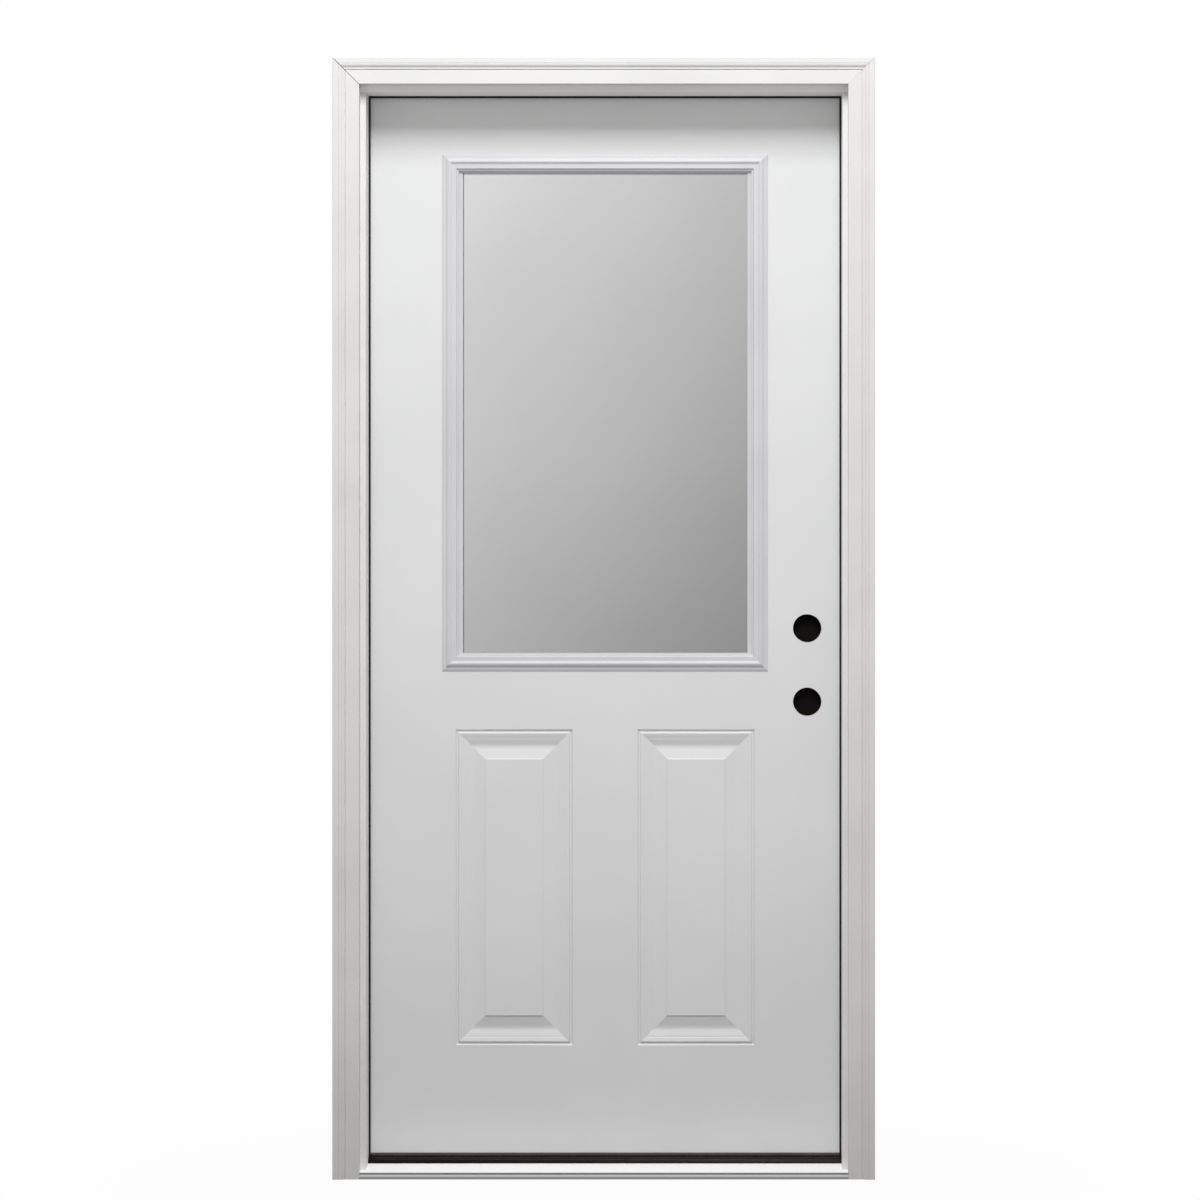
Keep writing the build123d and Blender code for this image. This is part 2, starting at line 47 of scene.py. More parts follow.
# The photograph's camera: 8.13 m in front of the brickmould, level, 1.09 m up, just right of the middle
camera = {"place": (0.22, -8.1598, 1.0884), "lens": 129.9, "sensor": 36.0, "shift": -0.1007, "far": 100}
shot = bpy.data.cameras.new("frontCamera")
shot.lens = camera["lens"]
shot.sensor_width = camera["sensor"]
shot.shift_x = camera["shift"]
shot.clip_end = camera["far"]
cameraObject = bpy.data.objects.new("frontCamera", shot)
cameraObject.location = camera["place"]
cameraObject.rotation_euler = (math.pi / 2, 0, 0)
bpy.context.collection.objects.link(cameraObject)
bpy.context.scene.camera = cameraObject
bpy.context.scene.view_settings.view_transform = "Standard"


# Every finish below is made by these functions from its own dictionary
def linear(hexColour):
    parts = [int(hexColour[i:i + 2], 16) / 255 for i in (1, 3, 5)]
    return tuple(p / 12.92 if p <= 0.04045 else ((p + 0.055) / 1.055) ** 2.4 for p in parts) + (1.0,)


def addNode(tree, kind, settings=None, **inputs):
    new = tree.nodes.new("ShaderNode" + kind)
    for key, value in (settings or {}).items():
        setattr(new, key, value)
    for key, value in inputs.items():
        socket = new.inputs[int(key[1:]) if key[0] == "i" and key[1:].isdigit() else key.replace("_", " ")]
        if isinstance(value, bpy.types.NodeSocket):
            tree.links.new(value, socket)
        else:
            socket.default_value = value
    return new


def finish(name, look, ownPattern=None, **sockets):
    # tone drives the colour from dark to light, sheen the roughness between its two values, and grain the
    # relief: each is lumps, written (mm across, detail, stretch), unless the finish brings its own pattern
    made = bpy.data.materials.new(name)
    made.use_nodes = True
    tree = made.node_tree
    shader = tree.nodes["Principled BSDF"]
    for key, value in sockets.items():
        shader.inputs[key.replace("_", " ")].default_value = value
    where = addNode(tree, "TexCoord").outputs["Object"]
    drive = ownPattern(tree, where, look) if ownPattern else {}
    for use in ("tone", "sheen", "grain"):
        if use in look:
            across, detail, stretch = (*look[use], (1, 1, 1))[:3]
            drawn = addNode(tree, "Mapping", Vector=where, Scale=stretch).outputs["Vector"]
            lump = addNode(tree, "TexNoise", Vector=drawn, Scale=1 / (across * mm), Detail=detail)
            drive[use] = lump.outputs["Fac"]
    ramp = addNode(tree, "ValToRGB", Fac=drive["tone"])
    stops = zip(ramp.color_ramp.elements, look.get("stops", (0.3, 0.7)), (look["dark"], look["light"]))
    for element, position, colour in stops:
        element.position = position
        element.color = linear(colour)
    tree.links.new(ramp.outputs["Color"], shader.inputs["Base Color"])
    if "sheen" in drive:
        low, high = look["roughness"]
        change = addNode(tree, "MapRange", Value=drive["sheen"], To_Min=low, To_Max=high)
        tree.links.new(change.outputs["Result"], shader.inputs["Roughness"])
    if "grain" in drive:
        bump = addNode(tree, "Bump", Height=drive["grain"], Distance=look["depthMm"] * mm, Strength=1.0)
        tree.links.new(bump.outputs["Normal"], shader.inputs["Normal"])
    return made


def foamCells(tree, where, look):
    # the cells of a cut foam give both its colour and its relief
    cells = addNode(tree, "TexVoronoi", Vector=where, Scale=look["cellsPerMetre"]).outputs["Distance"]
    return {"tone": cells, "grain": cells}


# Sprayed epoxy primer on galvanised sheet: satin white, with a faint orange peel
sprayed = {"dark": "#DEDFE0", "light": "#E2E3E4", "tone": (260, 2), "sheen": (90, 3), "grain": (2.2, 1),
           "roughness": (0.36, 0.48), "depthMm": 0.012}
primedSteel = finish("primedSteel", sprayed)

# Primed finger-jointed pine: flat white over a machine-planed board, its grain just showing along its length.
# The jambs are lighter, the brickmould darker and warmer, and the boards across are painted brighter than the
# uprights: painted light.
primer = {"primedJamb": ("#E1E1E0", "#E8E8E7"), "primedLintelPaintedLight": ("#F7F7F6", "#FCFCFB"),
          "primedMould": ("#D6D5D4", "#DDDCDB"), "primedMouldHeadPaintedLight": ("#D9D9D8", "#E0E0DF"),
          "cloudMm": 140, "grainMm": 2.4, "roughness": (0.44, 0.58), "depthMm": 0.016,
          "upright": (1, 1, 0.03), "across": (0.03, 1, 1)}


def primedWood(name, way):
    grain = (primer["grainMm"], 3, primer[way])
    dark, light = primer[name]
    return finish(name, {"dark": dark, "light": light, "tone": (primer["cloudMm"], 3), "sheen": grain,
                         "roughness": primer["roughness"], "grain": grain, "depthMm": primer["depthMm"]})


primedJamb = primedWood("primedJamb", "upright")
primedLintelPaintedLight = primedWood("primedLintelPaintedLight", "across")
primedMould = primedWood("primedMould", "upright")
primedMouldHeadPaintedLight = primedWood("primedMouldHeadPaintedLight", "across")

# Mill-finish aluminium, extruded: its oxide skin is pale and dull, with fine die lines along its length
dieLines = (0.9, 2, (0.006, 1, 1))  # coarser than a die leaves them, so that they show
# the face grey is painted shade for upright faces; the lip and tread values set where the painted light goes
extruded = {"dark": "#F9F9F8", "light": "#FEFEFD", "tone": dieLines, "sheen": (60, 3), "grain": dieLines,
            "roughness": (0.36, 0.5), "depthMm": 0.01, "face": "#A9A9AB", "lip": 8.5, "lipPaintedLightShare": 0.5,
            "paintedLitFrom": 0.6, "paintedLitTo": 0.95}
millAluminium = finish("millAluminium", extruded, Specular_IOR_Level=0.25)
# painted light and shade: faces turned up get the pale tone and upright faces the darker face grey, for how
# the light falls on them, and the lip gets only half of that painted light
tree = millAluminium.node_tree
upward = addNode(tree, "SeparateXYZ", Vector=addNode(tree, "NewGeometry").outputs["Normal"]).outputs["Z"]
paintedTopLight = addNode(tree, "MapRange", Value=upward, From_Min=extruded["paintedLitFrom"], From_Max=extruded["paintedLitTo"])
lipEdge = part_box("sill_deck")[0].y + extruded["lip"] * mm
inward = addNode(tree, "SeparateXYZ", Vector=addNode(tree, "TexCoord").outputs["Object"]).outputs["Y"]
lipPaintedShare = addNode(tree, "MapRange", Value=inward, From_Min=lipEdge, From_Max=lipEdge + mm,
                 To_Min=extruded["lipPaintedLightShare"])
paintedLight = addNode(tree, "Math", {"operation": "MULTIPLY"}, i0=paintedTopLight.outputs["Result"],
               i1=lipPaintedShare.outputs["Result"])
paintedLightMix = addNode(tree, "Mix", {"data_type": "RGBA"}, i0=paintedLight.outputs[0], i6=linear(extruded["face"]),
               i7=tree.nodes["Color Ramp"].outputs["Color"])
tree.links.new(paintedLightMix.outputs[2], tree.nodes["Principled BSDF"].inputs["Base Color"])

# Composite saddle: dark bronze capstock, painted darker still as painted shade under the leaf, moulded with a
# dull sheen and fine scuffs
capstockPaintedShade = {"dark": "#0C0605", "light": "#150B0A", "tone": (14, 4, (0.1, 1, 1)), "sheen": (25, 4),
            "grain": (0.8, 2, (0.05, 1, 1)), "roughness": (0.22, 0.36), "depthMm": 0.03}
bronzeComposite = finish("bronzeComposite", capstockPaintedShade, Specular_IOR_Level=0.15)

# Foam-filled weatherstrip: a dark bronze film with the soft creases of its foam
crease = (3.0, 2)
film = {"dark": "#110D0B", "light": "#1C1613", "tone": crease, "sheen": crease, "grain": crease,
        "roughness": (0.48, 0.66), "depthMm": 0.15}
bronzeFilm = finish("bronzeFilm", film, Specular_IOR_Level=0.3)

# Thermoplastic sweep: brown, extruded and matt, streaked along its length, its colour painted lighter as
# painted light against the shade under the leaf
streak = (4, 3, (0.05, 1, 1))
elastomerPaintedLight = {"dark": "#867A77", "light": "#978B88", "tone": streak, "sheen": streak, "grain": streak,
             "roughness": (0.52, 0.7), "depthMm": 0.05}
brownElastomer = finish("brownElastomer", elastomerPaintedLight, Specular_IOR_Level=0.25)

# Moulded glass-filled plastic: a cooler white than the steel, its spark texture drawn coarse enough to show
moulded = {"dark": "#CDCDD1", "light": "#D3D3D6", "tone": (180, 2), "sheen": (40, 3), "grain": (0.8, 1),
           "roughness": (0.44, 0.56), "depthMm": 0.01}
mouldedPlastic = finish("mouldedPlastic", moulded, Specular_IOR_Level=0.3)

# Clear float glass: almost colourless, with the slight unevenness of two sealed panes
pane = {"dark": "#F4F4F4", "light": "#F7F7F7", "tone": (400, 1), "grain": (300, 1), "depthMm": 0.03}
floatGlass = finish("floatGlass", pane, Transmission_Weight=1.0, IOR=1.52, Roughness=0.0)

# Roll-formed aluminium spacer: mill finish, dull and an even grey
rolled = {"dark": "#BFC1C3", "light": "#D5D7D8", "tone": (6, 2), "sheen": (12, 2), "roughness": (0.38, 0.52)}
spacerStrip = finish("spacerStrip", rolled, Metallic=1.0)

# Bare pine stiles and rails: growth rings stretched along the board, and pores drawn coarse enough to show
pine = {"dark": "#B98F5C", "light": "#DDBB88", "stops": (0.1, 0.9), "roughness": (0.52, 0.68),
        "depthMm": 0.05, "poreMm": 0.6, "warpMm": 45, "ringMm": 7, "wavesPerRing": 6.3,
        "upright": (1, 1, 0.05), "across": (0.05, 1, 1)}


def growthRings(tree, where, look):
    # rings are flat waves bent by wide soft lumps, all drawn out along the board
    drawn = addNode(tree, "Mapping", Vector=where, Scale=look["stretch"]).outputs["Vector"]
    lump = addNode(tree, "TexNoise", Vector=drawn, Scale=1 / (look["warpMm"] * mm), Detail=2.0)
    warp = lump.outputs["Fac"]
    bent = addNode(tree, "VectorMath", {"operation": "MULTIPLY_ADD"}, i0=where, i1=look["stretch"],
                   i2=addNode(tree, "CombineXYZ", X=warp, Y=warp, Z=warp).outputs["Vector"])
    ring = addNode(tree, "TexWave", {"bands_direction": "DIAGONAL"}, Vector=bent.outputs["Vector"],
                   Scale=1 / (look["ringMm"] * mm * look["wavesPerRing"]), Distortion=2.0, Detail=2.0)
    return {"tone": ring.outputs["Fac"], "sheen": ring.outputs["Fac"]}


def barePine(name, way):
    stretch = pine[way]
    return finish(name, {**pine, "stretch": stretch, "grain": (pine["poreMm"], 2, stretch)}, growthRings)


pineUpright = barePine("pineUpright", "upright")
pineAcross = barePine("pineAcross", "across")

# Composite sill substrate: pressed wood flour, brown, its speckles drawn coarse enough to show
pressed = {"dark": "#5E4B39", "light": "#7E6850", "tone": (1.6, 3), "grain": (1.0, 2), "depthMm": 0.08}
woodComposite = finish("woodComposite", pressed, Roughness=0.7)

# Poured polyurethane foam: pale yellow, its cut cells drawn 1.1 mm wide, as coarse as they need to show
poured = {"dark": "#D8C48C", "light": "#EADCAF", "cellsPerMetre": 900.0, "depthMm": 0.3}
foamFill = finish("foamFill", poured, foamCells, Roughness=0.85)

# Satin nickel plate on stamped steel, brushed up and down the leaf with lines drawn coarse enough to show
brushed = (0.35, 2, (1, 1, 0.02))
plated = {"dark": "#8E8A82", "light": "#B9B4AA", "tone": brushed, "sheen": brushed, "grain": brushed,
          "roughness": (0.26, 0.42), "depthMm": 0.01}
satinNickel = finish("satinNickel", plated, Metallic=1.0)

# Closed-cell foam: black and matt, its cut cells drawn 0.9 mm wide, as coarse as they need to show
sealed = {"dark": "#0B090A", "light": "#141113", "cellsPerMetre": 1100.0, "depthMm": 0.2}
blackFoam = finish("blackFoam", sealed, foamCells, Roughness=0.9, Specular_IOR_Level=0.1)
print("materials made:", len(bpy.data.materials))


# Shapes are made in mesh code, in metres, where the frame puts them. The edge, the mitre and the two welds
# here are lengths, and flat is how squarely a face has to look to the front or the back.
limits = {"edge": 5e-6, "mitre": 4e-7, "flat": 0.99999, "weld": 1e-6, "skinWeld": 2e-6}


def meshFrom(built, name, weld=0.0, outward=0):
    # welds what meets, turns the faces out and hands the mesh over; an open sheet faces the way asked for
    if weld:
        bmesh.ops.remove_doubles(built, verts=built.verts, dist=weld)
    bmesh.ops.recalc_face_normals(built, faces=built.faces)
    if outward * sum(face.normal.y * face.calc_area() for face in built.faces) < 0:
        bmesh.ops.reverse_faces(built, faces=built.faces)
    mesh = bpy.data.meshes.new(name)
    built.to_mesh(mesh)
    built.free()
    return mesh


def makePiece(name, mesh, material, body, replaced=(), sharpest=28):
    mesh.shade_smooth()
    mesh.set_sharp_from_angle(angle=math.radians(sharpest))
    # a mitre stays crisp however shallow its section, and so does the rim of a flat that faces front or back
    built = bmesh.new()
    built.from_mesh(mesh)
    for edge in built.edges:
        run = edge.verts[0].co - edge.verts[1].co
        mitred = abs(run.x) > limits["edge"] and abs(abs(run.x) - abs(run.z)) < limits["mitre"]
        if mitred or [abs(face.normal.y) > limits["flat"] for face in edge.link_faces].count(True) == 1:
            edge.smooth = False
    built.to_mesh(mesh)
    built.free()
    mesh.materials.append(material)
    piece = bpy.data.objects.new(name, mesh)
    bpy.context.collection.objects.link(piece)
    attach(piece, body)
    if replaced:
        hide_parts(*replaced)
    return piece


def keepFlats(piece):
    # flats stay flat in the shading beside the small rounds
    flats = piece.modifiers.new("flats", "WEIGHTED_NORMAL")
    flats.keep_sharp = True


def easedLine(corners, steps=5):
    # corners are (x, y, radius): each is rounded by a short curve that stays inside its two lines
    line = []
    for index, (x, y, radius) in enumerate(corners):
        if radius == 0:
            line.append((x, y))
            continue
        here = Vector((x, y))
        before = Vector(corners[index - 1][:2]) - here
        after = Vector(corners[(index + 1) % len(corners)][:2]) - here
        reach = min(radius, 0.48 * before.length, 0.48 * after.length)  # two rounds never meet on a line
        start, end = here + before.normalized() * reach, here + after.normalized() * reach
        for step in range(steps + 1):
            t = step / steps
            point = start * (1 - t) ** 2 + here * (2 * t * (1 - t)) + end * t ** 2
            line.append((point.x, point.y))
    return line


def loftRows(built, rows, closed, capEnds=False):
    # rows of points joined one to the next: closed rows make tubes, open rows make ribbons
    placed = [[built.verts.new(point) for point in row] for row in rows]
    count = len(rows[0])
    for near, far in zip(placed, placed[1:]):
        for i in range(count if closed else count - 1):
            j = (i + 1) % count
            built.faces.new((near[i], near[j], far[j], far[i]))
    if capEnds:
        built.faces.new(placed[0][::-1])
        built.faces.new(placed[-1])
    return placed


def stickMesh(name, start, end):
    built = bmesh.new()
    loftRows(built, [start, end], True, True)
    return meshFrom(built, name)


def squareEnd(section, side, half, z):
    # a side stick's section sawn level: its x runs out from the half width of the opening
    return [(side * (half + x * mm), y * mm, z) for x, y in section]


def mitredEnd(section, side, half, soffit, openGap=0.0):
    # the same section cut at 45 degrees at the head, where openGap opens the cut towards the front
    return [(side * (half + x * mm), y * mm, soffit + (x + openGap * y) * mm) for x, y in section]


def ringRows(profile, width, height, faceY, outward, centreZ):
    # a section carried round a rectangle, mitred at its corners: x is inward, y is proud of the face
    rows = []
    for sx, sz in ((-1, -1), (1, -1), (1, 1), (-1, 1), (-1, -1)):
        rows.append([(sx * (width / 2 - x * mm), faceY + outward * y * mm,
                      centreZ + sz * (height / 2 - x * mm)) for x, y in profile])
    return rows


# the weld is in metres; facets within flat degrees are joined, and edges past sharp degrees are rounded
eased = {"weld": 1e-5, "flat": 0.5, "sharp": 40, "steps": 2}


def easedCopy(node, name, width, material):
    # a CAD piece of the frame whose hard edges get the small round that a real one has
    built = bmesh.new()
    built.from_mesh(nodes[node].data)
    bmesh.ops.remove_doubles(built, verts=built.verts, dist=eased["weld"])
    bmesh.ops.dissolve_limit(built, angle_limit=math.radians(eased["flat"]), verts=built.verts,
                             edges=built.edges)
    mesh = bpy.data.meshes.new(name)
    built.to_mesh(mesh)
    built.free()
    piece = makePiece(name, mesh, material, "frame", (node,))
    ease = piece.modifiers.new("ease", "BEVEL")
    ease.width = width * mm
    ease.segments = eased["steps"]
    ease.limit_method = "ANGLE"
    ease.angle_limit = math.radians(eased["sharp"])
    ease.harden_normals = True


def dressNode(node, material):
    shape = nodes[node]
    for place in shape.material_slots:
        place.material = material
    if not shape.material_slots:
        shape.data.materials.append(material)


# Leaf skins: sheet steel with its panels pressed in and holes for the glass and the lock
outside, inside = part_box("exterior_skin"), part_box("interior_skin")
leaf = {"sheet": 0.6, "corner": 1.4, "cornerSteps": 5, "lockBevel": 2.8, "thickness": 44.45,
        "hingeLeaf": 2.5, "glassRoom": 3, "bores": [(384.15, 895.0), (384.15, 1034.7)],
        "boreRadius": 26.9875, "boreSides": 96, "borePatch": 36.0}
# the panel's depths behind the leaf's face, and how far in from its edge its curves start and end
panel = {"width": 224.3, "low": 241.35, "high": 843.05, "offset": 173.0, "ring": 57.5,
         "groove": 3.4, "bead": 0.5, "shoulder": 2.2, "recess": 6.3, "bevel": 1.7, "field": 0.1,
         "sweepFrom": 16.8, "sweepTo": 31.6, "sweepSteps": 9,
         "liftFrom": 33.0, "liftTo": 39.0, "liftSteps": 5, "crease": 56.4}
glassLow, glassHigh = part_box("glass_exterior")
cutHalf = (glassHigh.x + leaf["glassRoom"] * mm) / mm
cutLow = glassLow.z / mm - leaf["glassRoom"]
cutHigh = glassHigh.z / mm + leaf["glassRoom"]
hingeBoxes = [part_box(f"hinge_{place}_door_leaf") for place in ("bottom", "middle", "top")]
hingeRows = sorted((low.z / mm, high.z / mm) for low, high in hingeBoxes)
panelEdges = [(side * panel["offset"] - panel["width"] / 2, side * panel["offset"] + panel["width"] / 2)
              for side in (-1, 1)]


def panelProfile():
    # from the panel's edge on the leaf's face in to its raised field: a groove, a bead, an ogee, a bevel
    groove, bead, shoulder = -panel["groove"], -panel["bead"], -panel["shoulder"]
    recess, bevel, field = -panel["recess"], -panel["bevel"], -panel["field"]
    brow = 1.17 * shoulder
    line = easedLine([(0, 0, 0), (0.9, -0.2, 0.8), (2.9, 0.94 * groove, 1.1), (4.4, groove, 0.6),
                      (5.6, 0.85 * groove, 0.5), (7.4, 1.2 * bead, 0.6), (8.4, 0.6 * bead, 0.6),
                      (15.2, 0.9 * shoulder, 0.2), (15.9, 1.15 * shoulder, 0.2),
                      (panel["sweepFrom"], brow, 0)], 4)
    # below the brow the sheet sweeps down to the valley in an S, and the bevel lifts off it in a curve
    for t in (step / panel["sweepSteps"] for step in range(1, panel["sweepSteps"] + 1)):
        fall = 0.6 * t + 0.4 * t * t * (3 - 2 * t)
        line.append((panel["sweepFrom"] + (panel["sweepTo"] - panel["sweepFrom"]) * t,
                     brow + (recess - brow) * fall))
    liftLong = panel["liftTo"] - panel["liftFrom"]
    liftHigh = (bevel - recess) / (panel["crease"] - panel["liftTo"] + liftLong / 2) * liftLong / 2
    for t in (step / panel["liftSteps"] for step in range(panel["liftSteps"] + 1)):
        line.append((panel["liftFrom"] + liftLong * t, recess + liftHigh * t * t))
    line += easedLine([(panel["liftTo"], recess + liftHigh, 0), (panel["crease"], bevel, 0.3),
                       (panel["ring"] - 0.2, field, 0.3), (panel["ring"] + 3, field, 0)], 4)
    return line


def skinPlan(box, outward, faceY):
    # the sheet seen from above: up the hinge fold, round the bend, across, and down the lock fold
    left, bend = box[0].x / mm, leaf["corner"]
    foldY = (box[1].y if outward < 0 else box[0].y) / mm
    slope = leaf["lockBevel"] / leaf["thickness"]
    innerFace = inside[1].y / mm

    def lockEdge(y):
        return -left - slope * (innerFace - y)

    turns = [math.pi / 2 * s / leaf["cornerSteps"] for s in range(leaf["cornerSteps"] + 1)]
    quarter = [(1 - math.cos(turn), 1 - math.sin(turn)) for turn in turns]
    right = lockEdge(faceY)
    boreX, patch = leaf["bores"][0][0], leaf["borePatch"]
    cuts = {left + leaf["hingeLeaf"], boreX - patch, boreX + patch, -cutHalf, cutHalf,
            *[x for edges in panelEdges for x in edges]}
    plan = [(left, foldY)] + [(left + bend * u, faceY - outward * bend * v) for u, v in quarter]
    plan += [(x, faceY) for x in sorted(cuts)]
    plan += [(right - bend * v, faceY - outward * bend * u) for u, v in quarter]
    return plan + [(lockEdge(foldY), foldY)]


def addBorePatches(built, grid, plan, levels, faceY):
    # a square patch round each bore: four plates, each from one side of the square in to the circle
    columns = {round(x, 4): c for c, (x, y) in enumerate(plan) if y == faceY}
    sides, radius, near = leaf["boreSides"], leaf["boreRadius"], leaf["borePatch"] + 0.01
    quarter = sides // 4
    for bx, bz in leaf["bores"]:
        across = [columns[x] for x in sorted(columns) if abs(x - bx) < near]
        up = [r for r, z in enumerate(levels) if abs(z - bz) < near]
        edges = [[grid[r][across[-1]] for r in up], [grid[up[-1]][c] for c in across[::-1]],
                 [grid[r][across[0]] for r in up[::-1]], [grid[up[0]][c] for c in across]]
        turns = [math.pi * s / (sides / 2) for s in range(sides)]
        circle = [built.verts.new(((bx + radius * math.cos(turn)) * mm, faceY * mm,
                                   (bz + radius * math.sin(turn)) * mm)) for turn in turns]
        for side, edge in enumerate(edges):
            arc = [circle[(side * quarter - quarter // 2 + s) % sides] for s in range(quarter + 1)]
            built.faces.new(edge + arc[::-1])


def addPanels(built, faceY, outward):
    profile = panelProfile()
    height = (panel["high"] - panel["low"]) * mm
    middle = (panel["high"] + panel["low"]) / 2 * mm
    for a, b in panelEdges:
        rows = ringRows(profile, panel["width"] * mm, height, faceY * mm, outward, middle)
        shift = (a + b) / 2 * mm
        rows = [[(x + shift, y, z) for x, y, z in row] for row in rows]
        placed = loftRows(built, rows, False)
        built.faces.new([row[-1] for row in placed[:4]])


def skinMesh(name, box, outward):
    # a grid of plates, open for the glass and the hinges; patches and panels go into its other holes
    faceY = (box[0].y if outward < 0 else box[1].y) / mm
    left, low, high = box[0].x / mm, box[0].z / mm, box[1].z / mm
    plan = skinPlan(box, outward, faceY)
    patch = leaf["borePatch"]
    levels = {low, high, cutLow, cutHigh, panel["low"], panel["high"],
              *[z + way * patch for x, z in leaf["bores"] for way in (-1, 1)]}
    if outward > 0:
        levels |= {z for pair in hingeRows for z in pair}
    levels = sorted(levels)
    built = bmesh.new()
    grid = [[built.verts.new((x * mm, y * mm, z * mm)) for x, y in plan] for z in levels]

    def isHole(x, z):
        if -cutHalf < x < cutHalf and cutLow < z < cutHigh:
            return True
        if any(a < x < b for a, b in panelEdges) and panel["low"] < z < panel["high"]:
            return True
        if any(abs(x - bx) < patch and abs(z - bz) < patch for bx, bz in leaf["bores"]):
            return True
        return outward > 0 and x < left + leaf["hingeLeaf"] and any(a < z < b for a, b in hingeRows)

    for r in range(len(levels) - 1):
        for c in range(len(plan) - 1):
            if not isHole((plan[c][0] + plan[c + 1][0]) / 2, (levels[r] + levels[r + 1]) / 2):
                built.faces.new((grid[r][c], grid[r][c + 1], grid[r + 1][c + 1], grid[r + 1][c]))
    addBorePatches(built, grid, plan, levels, faceY)
    addPanels(built, faceY, outward)
    bmesh.ops.remove_doubles(built, verts=built.verts, dist=limits["skinWeld"])
    bmesh.ops.delete(built, geom=[v for v in built.verts if not v.link_faces], context="VERTS")
    return meshFrom(built, name, outward=outward)


for name, box, outward, node in (("skinOutside", outside, -1, "exterior_skin"),
                                 ("skinInside", inside, 1, "interior_skin")):
    skin = makePiece(name, skinMesh(name, box, outward), primedSteel, "door", (node,),
                     sharpest=35)
    sheet = skin.modifiers.new("sheet", "SOLIDIFY")
    sheet.thickness = leaf["sheet"] * mm
    sheet.offset = -1
    sheet.use_even_offset = True
    keepFlats(skin)
print("leaf skins made")

# Lite frames: one moulding each, with a crest, a shelf and a thin lip that meets the glass
lite = {"lipFrom": 31.8, "lipShare": 0.38}
liteProfile = [(0, 0, 0), (0, 1.2, 0.7), (4.0, 2.5, 1.0), (6.8, 2.8, 0.7), (9.4, 5.0, 2.2), (12.6, 6.6, 2.2),
               (15.2, 6.7, 1.4), (18.6, 4.4, 1.2), (20.4, 4.2, 0.5), (27.2, 4.1, 0.5), (28.6, 1.2, 0.4),
               (31.3, 0.9, 0.3), (31.8, -3.4, 0.2), (39.0, -4.2, 0.3), (39.0, -9.5, 0), (31.0, -9.5, 0),
               (31.0, 0, 0)]  # x in from the ring's edge, y proud of the skin, radius


def liteRing(profile, node, faceY, outward):
    # the lip is narrower along the head and the foot than up the sides
    low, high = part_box(node)
    centre, half = (low.z + high.z) / 2, (high.z - low.z) / 2
    start = half - lite["lipFrom"] * mm
    rows = []
    for row in ringRows(profile, high.x - low.x, 2 * half, faceY, outward, centre):
        reach = [abs(z - centre) for x, y, z in row]
        squeezed = [r if r > start else start - (start - r) * lite["lipShare"] for r in reach]
        rows.append([(x, y, centre + math.copysign(r, z - centre)) for (x, y, z), r in zip(row, squeezed)])
    built = bmesh.new()
    loftRows(built, rows, True)
    return meshFrom(built, node, limits["weld"])


for name, node, outward in (("liteOutside", "lite_frame_exterior", -1),
                            ("liteInside", "lite_frame_interior", 1)):
    faceY = outside[0].y if outward < 0 else inside[1].y
    mesh = liteRing(easedLine(liteProfile), node, faceY, outward)
    keepFlats(makePiece(name, mesh, mouldedPlastic, "door", (node,), sharpest=32))

# The spacer between the panes keeps just behind that lip
spacer = {"outer": 33.0, "inner": 38.6, "fold": 1.2}
paneIn, paneOut = [(outside[0].y - corner.y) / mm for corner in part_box("glass_spacer")]
foldAt = spacer["inner"] - spacer["fold"]
spacerProfile = easedLine([(spacer["outer"], paneIn, 0.3), (foldAt, paneIn, 0.3),
                           (spacer["inner"], paneIn - spacer["fold"], 0.4),
                           (spacer["inner"], paneOut + spacer["fold"], 0.4),
                           (foldAt, paneOut, 0.3), (spacer["outer"], paneOut, 0.3)])
mesh = liteRing(spacerProfile, "lite_frame_exterior", outside[0].y, -1)
keepFlats(makePiece("spacerRing", mesh, spacerStrip, "door", ("glass_spacer",), sharpest=32))
print("lite frames made")

# Brickmould: milled sticks with a cove and a fine groove, their mitres a little open at the front
mould = {"leftGap": 1.5, "rightGap": 0.4, "thickness": 31.75}
mouldProfile = [(0, 0, 0), (0, -27.3, 0.9), (25.2, -27.3, 0.5), (26.0, -25.8, 0.4), (27.3, -25.8, 0.4),
                (27.7, -28.3, 0.5), (31.0, -28.3, 0.9), (33.2, -30.6, 1.8), (36.4, -31.6, 1.2),
                (37.8, -31.6, 0.4), (38.3, -30.6, 0.3), (38.8, -31.75, 0.4), (50.0, -31.75, 1.6),
                (50.0, 0, 0)]
leftMould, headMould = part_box("brickmould_left"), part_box("brickmould_head")
mouldHalf, mouldSoffit = -leftMould[1].x, headMould[0].z
section = easedLine(mouldProfile)
for name, node, side in (("mouldLeft", "brickmould_left", -1), ("mouldRight", "brickmould_right", 1)):
    gap = mould["leftGap" if side < 0 else "rightGap"] / mould["thickness"]
    mesh = stickMesh(name, squareEnd(section, side, mouldHalf, leftMould[0].z),
                     mitredEnd(section, side, mouldHalf, mouldSoffit, gap))
    keepFlats(makePiece(name, mesh, primedMould, "frame", (node,)))
mesh = stickMesh("mouldHead", *[mitredEnd(section, side, mouldHalf, mouldSoffit) for side in (-1, 1)])
keepFlats(makePiece("mouldHead", mesh, primedMouldHeadPaintedLight, "frame", ("brickmould_head",)))
print("brickmould made")

